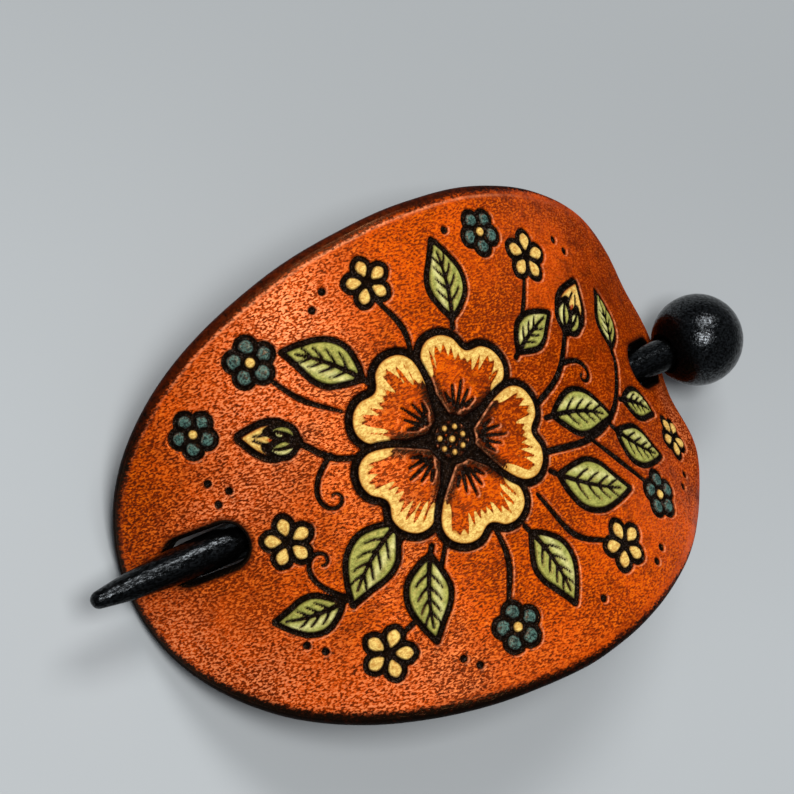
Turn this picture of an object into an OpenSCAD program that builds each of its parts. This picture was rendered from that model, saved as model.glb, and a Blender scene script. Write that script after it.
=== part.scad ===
// Oval leather hair barrette with a ball-ended wooden stick.
// The leather lies arched over the ground on its two ends. The stick goes down through one
// slot, under the arch and up through the other, and its ball stops against the leather.

/* [Leather plate] */
// Length of the oval, measured along the bent outer face
leather_len = 114; // [110:1:116]
// Width of the oval
leather_wid = 71; // [64:0.5:80]
// Thickness of the leather
leather_t = 3; // [2.4:0.1:3]
// Radius to which the outer face is bent
bend_r = 59; // [58:0.5:60]
// Rounding of the rim on the outer face
rim_r = 1.2; // [0.6:0.1:1.4]
// Rounding of the rim on the flesh side
rim_back_r = 0.8; // [0.4:0.1:1.2]

/* [Slots] */
// Distance of the tip-side slot's middle from the middle of the leather, along the bend
tip_slot_at = 42.5; // [42:0.1:43]
// Distance of the ball-side slot's middle from the middle of the leather, along the bend
ball_slot_at = 43.8; // [43.4:0.1:44.2]
// Length of each slot
slot_len = 13.2; // [13:0.1:14]
// Width of each slot
slot_wid = 7; // [6.8:0.1:8]
// Rounding of the slots' edges
slot_edge_r = 0.8; // [0.7:0.1:1]

/* [Stick] */
// Thickest diameter of the stick, under the arch
stick_d = 5.8; // [5.4:0.1:5.8]
// Diameter of the neck where it enters the ball
neck_d = 5; // [4.4:0.1:5.2]
// Diameter where the tip's round end begins
tip_d = 2.6; // [2:0.1:3]
// Distance of the tip's end from the middle of the leather
tip_reach = 56.8; // [54:0.2:60]
// Depth of the stick's axis below the crown of the arch
stick_drop = 16.2; // [16.1:0.1:16.3]
// Turn of the stick and of the line of slots from the oval's long axis, in degrees
stick_turn = -2.4; // [-4:0.1:4]
// Slope of the stick down to the ball, in degrees
stick_slope = 0.5; // [0.4:0.1:0.6]

/* [Ball] */
// Diameter of the ball
ball_d = 14.1; // [12:0.1:16]
// Gap between the ball and the leather that it stops against
ball_gap = 0.2; // [0.2:0.1:1]

/* [Hidden] */
$fn = 96;

oval_points = 108;    // points round the oval
slot_arc_points = 7;  // points round each quarter of a slot's ends
round_steps = 3;      // steps in each rounded edge
last_chord = 1.8;     // length of a rounded edge's last chord, against the arc's own chord
ball_bore_depth = 8;
ball_bore_gap = 0.05; // glue line round the neck
shell_w = 2 * leather_wid;

// The stick's outline between its round tip and its neck: each row is the distance from the
// tip's end and the radius there
tip_round_len = 1.1;
stick_sections = [
    [tip_round_len, tip_d / 2],
    [4.5, 1.82],
    [8.5, 2.25],
    [13, 2.6],
    [20, 2.8],
    [30, stick_d / 2],
    [64, stick_d / 2],
    [98, neck_d / 2 + 0.1],
];

end_angle = leather_len / 2 / bend_r * 180 / PI;
// Crown height that puts the lowest point of the rounded flesh-side rim on the ground
crown_z = bend_r - (bend_r - leather_t) * cos(end_angle)
    - rim_back_r * (sin(end_angle) + cos(end_angle) - 1);
arc_centre_z = crown_z - bend_r;
stick_z = crown_z - stick_drop;

// How far the stick runs in X and falls in Z for each unit of its length
stick_run = cos(stick_slope) * cos(stick_turn);
stick_fall = sin(stick_slope);
// Distance along the stick, from the middle, at which the ball just clears the outer face
ball_limit_r = bend_r + ball_d / 2 + ball_gap;
axis_h = bend_r - stick_drop;
grade = pow(stick_run, 2) + pow(stick_fall, 2);
ball_reach = (axis_h * stick_fall + sqrt(pow(axis_h * stick_fall, 2)
    + grade * (pow(ball_limit_r, 2) - pow(axis_h, 2)))) / grade;
// Puts the middle of the overall length at the origin
centre_x = (stick_run * (tip_reach - ball_reach) - ball_d / 2) / 2;

// A point of the flat leather, u along the bend, v across it and w above the outer face, when bent
function bent(u, v, w) =
    let (angle = u / bend_r * 180 / PI)
    [(bend_r + w) * sin(angle), v, (bend_r + w) * cos(angle) + arc_centre_z];

// One rounded edge as [setback, w] pairs, from the wall to past the face at w = 0. Its last chord
// is drawn longer, so that it crosses the face and doesn't end on it.
function rounded_edge(r) =
    let (arc = [for (i = [0:round_steps]) let (a = 90 * i / round_steps)
        [r - r * cos(a), r * sin(a) - r]])
    [for (i = [0:round_steps]) i < round_steps ? arc[i] : arc[i - 1] + (arc[i] - arc[i - 1]) * last_chord];

// A whole edge as [setback, w] pairs, from above the outer face to below the flesh side
function edge_profile(r_outer, r_flesh) =
    let (outer = rounded_edge(r_outer))
    concat(
        [for (i = [round_steps:-1:0]) outer[i]],
        [for (p = rounded_edge(r_flesh)) [p[0], -leather_t - p[1]]]);

// A closed outline from its upper half: each point is paired with its mirror image in the long axis
function mirrored(upper) =
    concat(upper, [for (i = [len(upper) - 1:-1:0]) [upper[i][0], -upper[i][1]]]);

// The oval's outline, set back from the rim by a distance
function oval(setback) = mirrored(
    [for (i = [0:oval_points / 2 - 1]) let (a = 360 * (i + 0.5) / oval_points)
        [(leather_len / 2 - setback) * cos(a), (leather_wid / 2 - setback) * sin(a)]]);

// A slot's outline about its own middle, set back from its wall into the leather by a distance
function slot_outline(setback) =
    let (r = slot_wid / 2 + setback, half = (slot_len - slot_wid) / 2,
        turns = [for (i = [0.5:slot_arc_points]) 90 * i / (slot_arc_points - 0.5)],
        quarter = [for (a = turns) [half + r * cos(a), r * sin(a)]])
    mirrored(concat(quarter, [[0, r]],
        [for (i = [slot_arc_points - 1:-1:0]) [-quarter[i][0], quarter[i][1]]]));

// The slot's outline turned to the stick's line and moved to u on the leather
function slot_placed(u, setback) =
    let (v = bend_r * sin(u / bend_r * 180 / PI) * tan(stick_turn))
    [for (p = slot_outline(setback))
        [u + p[0] * cos(stick_turn) - p[1] * sin(stick_turn),
         v + p[0] * sin(stick_turn) + p[1] * cos(stick_turn)]];

// A bent solid with one ring of points for each [setback, w] pair. Its two faces are strips
// between mirrored points, so they follow the bend.
module bent_solid(outlines, profile) {
    n = len(outlines[0]);
    last = len(profile) - 1;
    points = [for (k = [0:last], p = outlines[k]) bent(p[0], p[1], profile[k][1])];
    walls = [for (k = [0:last - 1], i = [0:n - 1])
        let (a = k * n + i, b = k * n + (i + 1) % n)
        [a, b, b + n, a + n]];
    faces = [for (i = [0:n / 2 - 2], k = [0, last])
        let (a = k * n + i, c = k * n + n - 2 - i)
        k == 0 ? [a, c + 1, c, a + 1] : [a, a + 1, c, c + 1]];
    triangles = [for (q = concat(walls, faces), half = [0, 2])
        [q[half], q[half + 1], q[(half + 2) % 4]]];
    polyhedron(points, triangles, convexity = 4);
}

module leather_plate() {
    rim = edge_profile(rim_r, rim_back_r);
    slot_edge = edge_profile(slot_edge_r, slot_edge_r);
    color([0.66, 0.25, 0.08])
    translate([centre_x, 0, 0])
    difference() {
        intersection() {
            translate([0, 0, arc_centre_z]) rotate([90, 0, 0]) difference() {
                cylinder(r = bend_r, h = shell_w, center = true);
                cylinder(r = bend_r - leather_t, h = shell_w + 1, center = true);
            }
            bent_solid([for (p = rim) oval(p[0])], rim);
        }
        for (u = [-tip_slot_at, ball_slot_at])
            bent_solid([for (p = slot_edge) slot_placed(u, p[0])], slot_edge);
    }
}

// Puts what is drawn along +Z on the stick's axis, with its zero at the middle of the leather
module along_stick() {
    translate([centre_x, 0, stick_z])
    rotate([0, 0, stick_turn]) rotate([0, 90 + stick_slope, 0])
    children();
}

module stick() {
    neck_start = tip_reach + ball_reach - ball_d / 2;
    end = neck_start + ball_bore_depth - ball_bore_gap;
    color([0.03, 0.03, 0.03])
    along_stick() translate([0, 0, -tip_reach]) rotate_extrude() polygon(concat(
        [[0, 0]],
        [for (a = [30, 60]) [tip_d / 2 * sin(a), tip_round_len * (1 - cos(a))]],
        [for (s = stick_sections) [s[1], s[0]]],
        [[neck_d / 2, neck_start], [neck_d / 2, end], [0, end]]));
}

module ball_end() {
    color([0.03, 0.03, 0.03])
    along_stick() translate([0, 0, ball_reach]) difference() {
        sphere(d = ball_d);
        translate([0, 0, -ball_d])
            cylinder(d = neck_d + 2 * ball_bore_gap, h = ball_d / 2 + ball_bore_depth);
    }
}

leather_plate();
stick();
ball_end();
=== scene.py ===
"""Oval tooled-leather hair barrette with a ball-ended wooden stick."""
from math import asin, atan2, cos, pi, radians, sin, sqrt, tan, tau

import bmesh
import bpy
import numpy as np
from mathutils import Matrix, Vector, noise
from mathutils.geometry import delaunay_2d_cdt
from mathutils.kdtree import KDTree


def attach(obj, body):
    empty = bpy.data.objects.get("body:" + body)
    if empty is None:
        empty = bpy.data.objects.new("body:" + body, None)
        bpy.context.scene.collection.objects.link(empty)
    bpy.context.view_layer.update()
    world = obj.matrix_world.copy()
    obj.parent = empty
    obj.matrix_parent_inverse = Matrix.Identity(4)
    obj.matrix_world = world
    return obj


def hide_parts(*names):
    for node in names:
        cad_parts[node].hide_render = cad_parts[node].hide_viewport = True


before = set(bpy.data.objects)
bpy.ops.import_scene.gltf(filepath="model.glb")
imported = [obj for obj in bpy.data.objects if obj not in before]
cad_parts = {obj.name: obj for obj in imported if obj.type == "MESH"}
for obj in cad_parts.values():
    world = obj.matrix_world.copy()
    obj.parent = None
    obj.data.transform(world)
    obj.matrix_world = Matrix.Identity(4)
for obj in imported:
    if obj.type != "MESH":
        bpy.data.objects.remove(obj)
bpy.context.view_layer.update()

bl_info = {
    "name": "Tooled leather hair barrette",
    "version": (1, 0, 0),
    "blender": (4, 5, 0),
    "location": "3D View > Sidebar > Barrette",
    "description": "An arched oval of tooled leather, held by a stick with a ball end",
    "category": "Object",
}

MM = 0.001

# Sizes that the solids were built with, in millimetres
LEATHER_LEN, LEATHER_WID, LEATHER_T = 114.0, 71.0, 3.0
BEND_R = 59.0
RIM_R, RIM_BACK_R, SLOT_EDGE_R = 1.2, 0.8, 0.8
SLOT_LEN, SLOT_WID = 13.2, 7.0
SLOTS_AT = (-42.5, 43.8)
STICK_TURN, STICK_SLOPE = radians(-2.4), radians(0.5)
STICK_DROP, TIP_REACH, BALL_D = 16.2, 56.8, 14.1
BALL_GAP = 0.2
BORE_DEPTH, BORE_R = 8.0, 2.55

END_ANGLE = LEATHER_LEN / 2 / BEND_R
CROWN_Z = BEND_R - (BEND_R - LEATHER_T) * cos(END_ANGLE) - RIM_BACK_R * (sin(END_ANGLE) + cos(END_ANGLE) - 1)
STICK_RUN, STICK_FALL = cos(STICK_SLOPE) * cos(STICK_TURN), sin(STICK_SLOPE)
AXIS_H = BEND_R - STICK_DROP
GRADE = STICK_RUN ** 2 + STICK_FALL ** 2
BALL_LIMIT = BEND_R + BALL_D / 2 + BALL_GAP
BALL_REACH = (AXIS_H * STICK_FALL + sqrt((AXIS_H * STICK_FALL) ** 2
              + GRADE * (BALL_LIMIT ** 2 - AXIS_H ** 2))) / GRADE
CENTRE_X = (STICK_RUN * (TIP_REACH - BALL_REACH) - BALL_D / 2) / 2

# The slots as they look, their edges drawn in a little by the burnishing: the radius of their round ends, and
# half of the straight run between those
SLOT_R = (SLOT_WID - 0.5) / 2
SLOT_HALF = (SLOT_LEN - 0.3 - 2 * SLOT_R) / 2
# How far the tip-side slot closes in on each side, at the flesh side
SLOT_SQUEEZE = 0.35
# The ball as it looks, pressed a little into the leather, which keeps clear of it by a hair
BALL_R, BALL_AT, BALL_CLEAR = BALL_D / 2 + 0.12, BALL_REACH - 0.4, 0.03

# The stick's outline behind its round tip: distance from the tip's end, radius
TIP_R = 1.33
STICK_OUTLINE = ((0, 1.14), (4.5, 1.82), (8.5, 2.25), (13, 2.6), (20, 2.8), (30, 2.9), (64, 2.9), (98, 2.6),
                 (100.74, 2.5), (108.68, 2.5))

# Rings of points along the leather's edges, by their distance from the edge. Those of the outer face follow
# its rounding first.
OUTER_RINGS = [RIM_R * (1 - cos(radians(a))) for a in range(0, 91, 15)] + [1.5, 1.82, 2.16, 2.5]
FLESH_RINGS = [0.0, 0.06, 0.22, 0.48, 0.8, 1.4, 2.1]
# The gap between the innermost ring and the even grid, in cells, and the steps of the walls
GRID_GAP = 0.55
WALL_STEPS = 3


# Modelling helpers

def nothing_selected():
    if bpy.context.mode != "OBJECT":
        bpy.ops.object.mode_set(mode="OBJECT")
    bpy.ops.object.select_all(action="DESELECT")


def named(name):
    """Names the object that was just added."""
    piece = bpy.context.active_object
    piece.name = name
    piece.data.name = name
    return piece


def start_empty(name):
    """Begins a piece in edit mode, with nothing in it yet."""
    nothing_selected()
    bpy.ops.mesh.primitive_circle_add(vertices=3, radius=1)
    piece = named(name)
    bpy.ops.object.mode_set(mode="EDIT")
    bpy.ops.mesh.select_all(action="SELECT")
    bpy.ops.mesh.delete(type="VERT")
    return piece


def merge_doubles(threshold):
    bpy.ops.mesh.select_all(action="SELECT")
    bpy.ops.mesh.remove_doubles(threshold=threshold)


def face_outwards():
    """Turns all faces outwards and leaves edit mode."""
    bpy.ops.mesh.select_all(action="SELECT")
    bpy.ops.mesh.normals_make_consistent(inside=False)
    bpy.ops.object.mode_set(mode="OBJECT")


def coords(mesh):
    co = np.empty(len(mesh.vertices) * 3)
    mesh.vertices.foreach_get("co", co)
    return co.reshape(-1, 3)


def put_coords(mesh, co):
    mesh.vertices.foreach_set("co", np.asarray(co, float).ravel())
    mesh.update()


def store(mesh, name, values):
    """Keeps one number or one place for each vertex, for the material to read."""
    values = np.asarray(values, np.float32)
    kind, field = ("FLOAT", "value") if values.ndim == 1 else ("FLOAT_VECTOR", "vector")
    mesh.attributes.new(name, kind, "POINT").data.foreach_set(field, values.ravel())


def use_second_material(mesh, chosen):
    """Gives the second material to the faces whose corners are all chosen."""
    corners, starts = np.empty(len(mesh.loops), np.int32), np.empty(len(mesh.polygons), np.int32)
    mesh.loops.foreach_get("vertex_index", corners)
    mesh.polygons.foreach_get("loop_start", starts)
    second = np.logical_and.reduceat(chosen[corners], starts)
    mesh.polygons.foreach_set("material_index", second.astype(np.int32))


def finished(piece, material, body, replaces):
    piece.data.materials.clear()
    piece.data.materials.append(material)
    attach(piece, body)
    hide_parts(replaces)


def ease(lo, hi, x):
    """Rises smoothly from 0 at lo to 1 at hi, or falls if lo is the larger."""
    t = np.clip((x - lo) / (hi - lo), 0, 1)
    return t * t * (3 - 2 * t)


def wander(points, size, seed):
    """Smooth noise between about -1 and 1, with patches of a given size."""
    shift = Vector((seed * 7.3, seed * 3.1, seed * 5.7))
    return np.array([noise.noise(Vector(p) / size + shift) for p in points])


# The flat leather

def rim_distance(u, v):
    """Distance from the oval's edge, into the leather."""
    a, b = LEATHER_LEN / 2, LEATHER_WID / 2
    q = np.sqrt((u / a) ** 2 + (v / b) ** 2) + 1e-9
    slope = np.hypot(u / a ** 2, v / b ** 2) / q
    return (1 - q) / np.maximum(slope, 1e-6)


def slot_centre(k):
    u = SLOTS_AT[k]
    return u, BEND_R * sin(u / BEND_R) * tan(STICK_TURN)


def along_slot(u, v, k):
    """Where points of the flat leather lie along and across a slot, from its middle."""
    cu, cv = slot_centre(k)
    c, s = cos(STICK_TURN), sin(STICK_TURN)
    return (u - cu) * c + (v - cv) * s, (v - cv) * c - (u - cu) * s


def edge_distances(u, v):
    """Distance from the oval's edge, and from the nearer slot's wall, into the leather."""
    slots = []
    for k in (0, 1):
        x, y = along_slot(u, v, k)
        slots.append(np.hypot(np.maximum(np.abs(x) - SLOT_HALF, 0), y) - SLOT_R)
    return rim_distance(u, v), np.minimum(*slots)


def oval_outline(count):
    """Points round the oval at even steps of its length."""
    a = np.linspace(0, tau, 4001)
    p = np.column_stack([LEATHER_LEN / 2 * np.cos(a), LEATHER_WID / 2 * np.sin(a)])
    run = np.concatenate([[0], np.cumsum(np.hypot(*np.diff(p, axis=0).T))])
    at = np.interp(np.arange(count) / count * run[-1], run, a)
    return np.column_stack([LEATHER_LEN / 2 * np.cos(at), LEATHER_WID / 2 * np.sin(at)])


def slot_outline(k, count):
    """Points round a slot at even steps of its length."""
    side, arc = 2 * SLOT_HALF, pi * SLOT_R
    out = []
    for i in range(count):
        t = i / count * 2 * (side + arc)
        flip = 1
        if t >= side + arc:
            t, flip = t - side - arc, -1
        if t < side:
            x, y = SLOT_HALF - t, SLOT_R
        else:
            a = (t - side) / SLOT_R
            x, y = -SLOT_HALF - SLOT_R * sin(a), SLOT_R * cos(a)
        out.append((flip * x, flip * y))
    x, y = np.array(out).T
    cu, cv = slot_centre(k)
    c, s = cos(STICK_TURN), sin(STICK_TURN)
    return np.column_stack([cu + x * c - y * s, cv + x * s + y * c])


def select_edges(bm, wanted):
    for part in (*bm.faces, *bm.edges, *bm.verts):
        part.select = False
    for e in wanted:
        e.select = True
        e.verts[0].select = e.verts[1].select = True


def outline_edges(bm, z):
    """Edges on the oval's and slots' own outlines at one height."""
    out = []
    for e in bm.edges:
        p = (e.verts[0].co + e.verts[1].co) / 2
        if len(e.link_faces) == 1 and abs(p.z - z) < 0.01:
            rim, slot = edge_distances(p.x, p.y)
            if min(rim, slot) < 0.02:
                out.append(e)
    return out


def add_edge_rings(mesh, outline, inward, z, setbacks):
    """Rings of points along one outline, each further into the leather than the one before."""
    count = len(outline)
    run = np.roll(outline, -1, 0) - np.roll(outline, 1, 0)
    inner = inward * np.column_stack([-run[:, 1], run[:, 0]]) / np.hypot(*run.T)[:, None]
    bpy.ops.mesh.primitive_circle_add(vertices=count, radius=1, location=(0, 0, z))
    bm = bmesh.from_edit_mesh(mesh)
    for vert in [x for x in bm.verts if x.select]:
        vert.co = (*outline[round(atan2(vert.co.y, vert.co.x) / tau * count) % count], z)
    for near, far in zip(setbacks, setbacks[1:]):
        order = KDTree(count)
        for i, (u, v) in enumerate(outline + near * inner):
            order.insert((u, v, z), i)
        order.balance()
        bpy.ops.mesh.extrude_region_move()
        bm = bmesh.from_edit_mesh(mesh)
        for vert in [x for x in bm.verts if x.select]:
            i = order.find(vert.co)[1]
            vert.co = (*(outline[i] + far * inner[i]), z)
    bmesh.update_edit_mesh(mesh)
    bpy.ops.mesh.select_all(action="DESELECT")


def add_even_grid(mesh, z, cells, cell, is_grid):
    """An even grid of so many cells each way, kept where is_grid says."""
    bpy.ops.mesh.primitive_grid_add(x_subdivisions=cells[0], y_subdivisions=cells[1], size=1,
                                    location=(0, 0, z))
    bm = bmesh.from_edit_mesh(mesh)
    grid = [x for x in bm.verts if x.select]
    co = np.array([x.co for x in grid])[:, :2] * (np.array(cells) * cell)
    for vert, (u, v), stays in zip(grid, co, is_grid(*co.T)):
        vert.co = (u, v, z)
        vert.select = not stays
    bm.select_flush(False)
    bpy.ops.mesh.delete(type="VERT")
    bpy.ops.mesh.select_all(action="SELECT")
    bpy.ops.mesh.delete_loose(use_verts=True, use_edges=True, use_faces=False)


def join_to_rings(mesh, z, band, cells, cell, is_grid):
    """Triangles from the grid's stepped edge to the innermost rings, which lie a band away from the edges."""
    bm = bmesh.from_edit_mesh(mesh)
    open_edges = [e for e in bm.edges if e.is_boundary and abs(e.verts[0].co.z - z) < 0.01]
    middles = np.array([(e.verts[0].co + e.verts[1].co) / 2 for e in open_edges])
    apart = np.minimum(*edge_distances(*middles.T[:2])) > 0.5 * band
    open_edges = [e for e, wanted in zip(open_edges, apart) if wanted]
    corners = list(dict.fromkeys(x for e in open_edges for x in e.verts))
    number = {x: i for i, x in enumerate(corners)}
    ends = [(number[e.verts[0]], number[e.verts[1]]) for e in open_edges]
    made = delaunay_2d_cdt([x.co.xy for x in corners], ends, [], 0, 1e-7)
    faces = np.array(made[2])
    middles = np.array(made[0])[faces].mean(1)

    half = np.array(cells) / 2
    low = np.floor(middles / cell + half) - half
    on_grid = np.ones(len(middles), bool)
    for step in ((0, 0), (1, 0), (0, 1), (1, 1)):
        on_grid &= is_grid(*((low + step) * cell).T)
    between = (np.minimum(*edge_distances(*middles.T)) > band) & ~on_grid
    for face in faces[between]:
        bm.faces.new([corners[made[3][i][0]] for i in face])
    bmesh.update_edit_mesh(mesh)


def add_leather_face(mesh, z, look, setbacks, cell):
    """One flat face of the leather in edit mode: rings along every edge, and an even grid between them."""
    band = setbacks[-1]
    cells = int(LEATHER_LEN / cell), int(LEATHER_WID / cell)

    def is_grid(u, v):
        return np.minimum(*edge_distances(u, v)) > band + GRID_GAP * cell

    bpy.ops.mesh.select_all(action="DESELECT")
    add_edge_rings(mesh, oval_outline(look.rim_points), 1, z, setbacks)
    for k in (0, 1):
        add_edge_rings(mesh, slot_outline(k, look.slot_points), -1, z, setbacks)
    add_even_grid(mesh, z, cells, cell, is_grid)
    join_to_rings(mesh, z, band, cells, cell, is_grid)


def rounded(setback, r):
    """How far a rounded edge lies below its face."""
    s = np.clip(setback, 0, r)
    return r - np.sqrt(np.maximum(r * r - (r - s) ** 2, 0))


# What is tooled and painted on the leather

# The distance that stands for nothing near, and how far a cut, a form and a form's shade are felt
FAR = 5.0
CUT_REACH, FORM_REACH, SHADE_REACH = 2.2, 4.5, 8.5
# How far outside a form's outline the cut round it lies
FORM_CUT_OUT = 0.12


def smooth_line(points, steps=6, closed=False):
    """A smooth line through a few points."""
    p = np.array(points, float)
    if closed:
        p = np.vstack([p[-1], p, p[0], p[1]])
    else:
        p = np.vstack([2 * p[0] - p[1], p, 2 * p[-1] - p[-2]])
    out = []
    for a, b, c, d in zip(p, p[1:], p[2:], p[3:]):
        for t in np.arange(steps) / steps:
            out.append(0.5 * (2 * b + (c - a) * t + (2 * a - 5 * b + 4 * c - d) * t * t
                              + (3 * b - a - 3 * c + d) * t ** 3))
    if not closed:
        out.append(p[-2])
    return np.array(out)


def placed(points, at, turn, size=1.0):
    """A motif that is drawn along its own long axis, turned and put at its place."""
    c, s = cos(radians(turn)), sin(radians(turn))
    return np.array(points) * size @ np.array([[c, s], [-s, c]]) + np.array(at)


def bowed(points, length, turn):
    """A straight motif bent into an arc that turns by so many degrees over its length."""
    p = np.array(points, float)
    if abs(turn) < 1e-6:
        return p
    r = length / radians(turn)
    a = p[:, 0] / r
    return np.column_stack([(r - p[:, 1]) * np.sin(a), r - (r - p[:, 1]) * np.cos(a)])


def both_sides(half):
    """A whole outline from its upper half."""
    return list(half) + [(a, -b) for a, b in reversed(half) if b]


def keep_nearer(layer, some, d):
    """Lowers the distances of some points in a layer to those given, where they are less."""
    layer[some] = np.minimum(layer[some], d)


def polar(at, r, turn):
    """The place at a distance r from another, in a direction given in radians."""
    return at[0] + r * cos(turn), at[1] + r * sin(turn)


def ring(at, r, count):
    return np.array([polar(at, r, turn) for turn in np.arange(count) * tau / count])


class Tooling:
    """Distances in millimetres from flat points of the leather to the cuts and painted areas on it."""

    def __init__(self, points):
        self.points = points
        count = len(points)
        self.cuts, self.gold, self.leaf, self.teal, self.body = (np.full(count, FAR) for _ in range(5))
        self.shade, self.streak = np.zeros(count), np.zeros(count)

    def near(self, line, reach):
        """The numbers of the points in a box round a line."""
        lo, hi = line.min(0) - reach, line.max(0) + reach
        return np.nonzero(((self.points > lo) & (self.points < hi)).all(1))[0]

    def along(self, line, some):
        """Distance of some points from a line, and how far along it the nearest place is."""
        q = self.points[some]
        best, where = np.full(len(some), 1e9), np.zeros(len(some))
        count = len(line) - 1
        for k in range(count):
            a, ab = line[k], line[k + 1] - line[k]
            t = np.clip((q - a) @ ab / max(ab @ ab, 1e-12), 0, 1)
            d = np.hypot(*(q - a - t[:, None] * ab).T)
            closer = d < best
            best[closer], where[closer] = d[closer], (k + t[closer]) / count
        return best, where

    def cut(self, line, widths):
        """A knife cut along a line. Its width changes along it through the given widths."""
        line = np.array(line, float)
        some = self.near(line, CUT_REACH)
        d, t = self.along(line, some)
        r = np.interp(t, np.linspace(0, 1, len(widths)), widths) / 2
        keep_nearer(self.cuts, some, d - r)

    def dot(self, at, width):
        self.cut([at, (at[0] + 0.01, at[1])], (width, width))

    def inside(self, outline, reach):
        """Distance from a closed outline, below zero inside it."""
        loop = np.vstack([outline, outline[:1]])
        some = self.near(outline, reach)
        d, _ = self.along(loop, some)
        q = self.points[some]
        odd = np.zeros(len(some), bool)
        for a, b in zip(loop, loop[1:]):
            if a[1] != b[1]:
                odd ^= ((a[1] > q[:, 1]) != (b[1] > q[:, 1])) & (
                    q[:, 0] < (b[0] - a[0]) * (q[:, 1] - a[1]) / (b[1] - a[1]) + a[0])
        return some, np.where(odd, -d, d)

    def darken_round(self, at, r, width, depth):
        """A soft ring of shade at a distance r from a place."""
        away = np.hypot(*(self.points - np.array(at)).T)
        self.shade = np.maximum(self.shade, depth * np.exp(-((away - r) / width) ** 2))

    def form(self, outline, width, paint=None):
        """A raised form inside a cut outline. It covers what was tooled there before."""
        some, d = self.inside(outline, FORM_REACH)
        under = some[d < 0]
        for layer in (self.cuts, self.gold, self.leaf, self.teal):
            layer[under] = FAR
        self.streak[under] = 0
        keep_nearer(self.cuts, some, np.abs(d - FORM_CUT_OUT) - width / 2)
        keep_nearer(self.body, some, d)
        if paint:
            keep_nearer(getattr(self, paint), some, d)
        return some, d

    def airbrush(self, outlines, outer, inner, depth):
        """Dark shade that fades away on both sides of some outlines."""
        best = np.full(len(self.points), SHADE_REACH + 0.5)
        for outline in outlines:
            some, d = self.inside(outline, SHADE_REACH)
            keep_nearer(best, some, d)
        fade = np.where(best > 0, np.exp(-(best / outer) ** 2), np.exp(-(best / inner) ** 2))
        self.shade = np.maximum(self.shade, depth * fade)


# Upper halves of the motifs' outlines. The leaf's is in shares of its length, the others are in millimetres.
LEAF_HALF = ((0, 0), (0.14, 0.13), (0.34, 0.25), (0.56, 0.245), (0.78, 0.135), (1, 0))
PETAL_HALF = ((2.9, 0.9), (4.6, 2.9), (7.4, 5.6), (10.4, 7.2), (13.0, 6.7), (14.6, 4.6), (14.7, 2.2),
              (13.5, 0))
BLOSSOM_HALF = ((0.75, 0.32), (1.5, 0.95), (2.5, 1.3), (3.4, 1.0), (4.0, 0))
BUD_HALF = ((0, 0), (0.8, 1.9), (3.0, 3.0), (5.6, 2.5), (8.2, 0.9), (9.2, 0))


def tool_leaf(work, at, turn, length, bow, veins=4, fat=1.0):
    outline = smooth_line(LEAF_HALF, 5)
    outline = np.vstack([outline, outline[-2:0:-1] * (1, -1)]) * (length, length * fat)
    work.form(placed(bowed(outline, length, bow), at, turn), 0.78, "leaf")

    def on_leaf(points):
        return placed(bowed(np.array(points, float) * length, length, bow), at, turn)

    work.cut(on_leaf([(x, 0) for x in np.linspace(-0.12, 0.84, 12)]), (0.75, 0.6, 0.45, 0.28))
    for k in range(veins):
        a, reach = 0.2 + 0.15 * k, 0.16 * (1 - 0.13 * k) * fat
        for side in (-reach, reach):
            vein = smooth_line([(a, 0), (a + 0.09, 0.62 * side), (a + 0.17, side)], 3)
            work.cut(on_leaf(vein), (0.34, 0.28, 0.2))
    # A pale stroke beside the midrib, a painted highlight on the leaf
    pale = on_leaf([(x, 0.11 * fat) for x in np.linspace(0.12, 0.8, 8)])
    some = work.near(pale, 2.0)
    d, _ = work.along(pale, some)
    work.streak[some] = np.maximum(work.streak[some], np.exp(-(d / 0.55) ** 2))


def tool_rose(work, at, turn, petals=5):
    outline = smooth_line(both_sides(PETAL_HALF), 5, closed=True)
    outlines = []
    for k in range(petals):
        a = turn + 360 / petals * k
        outlines.append(placed(outline, at, a))
        some, d = work.form(outlines[-1], 0.9)
        q = work.points[some] - np.array(at)
        r = np.hypot(*q.T)
        side = (np.arctan2(q[:, 1], q[:, 0]) - radians(a) + pi) % tau - pi
        # gold brushed in from the petal's edge, in tapered strokes
        stroke, across = np.divmod(side * 11 + 20, 1)
        tips = np.random.default_rng(40 + k).uniform(0.15, 1.0, 41)
        strokes = tips[np.clip(stroke, 0, 40).astype(int)] * (1 - np.abs(2 * across - 1)) ** 0.8
        width = (1.5 + 2.9 * strokes) * ease(7.4, 11.0, r)
        keep_nearer(work.gold, some, np.maximum(d + 0.45, -width - d))
        for j in (-2, -1, 0, 1, 2):
            fold = [polar((0, 0), 4.4 + 0.5 * abs(j), radians(7.0 * j)),
                    polar((0, 0), 8.6 - 0.9 * abs(j), radians(9.5 * j))]
            work.cut(placed(fold, at, a), (0.55, 0.45, 0.28))
    work.form(ring(at, 3.0, 28), 0.8)
    for bead in ring(at, 1.85, 7):
        work.form(ring(bead, 0.55, 12), 0.4, "gold")
    work.form(ring(at, 0.62, 12), 0.4, "gold")
    work.airbrush(outlines, 0.8, 1.7, 1.0)
    work.darken_round(at, 3.4, 1.9, 0.9)


def tool_blossom(work, at, size, turn, petals=5):
    outline = smooth_line(both_sides(BLOSSOM_HALF), 5, closed=True)
    for k in range(petals):
        work.form(placed(outline, at, turn + 360 / petals * k, size), 0.74, "gold")
    work.dot(at, 1.5 * size)
    work.darken_round(at, 0, 2 * size, 0.5)


def tool_floret(work, at, size, turn, petals=5):
    for k in range(petals):
        petal = placed([(2.2, 0)], at, turn + 360 / petals * k, size)[0]
        work.form(ring(petal, 1.35 * size, 16), 0.7, "teal")
    work.form(ring(at, 0.95 * size, 14), 0.55, "gold")


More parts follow.
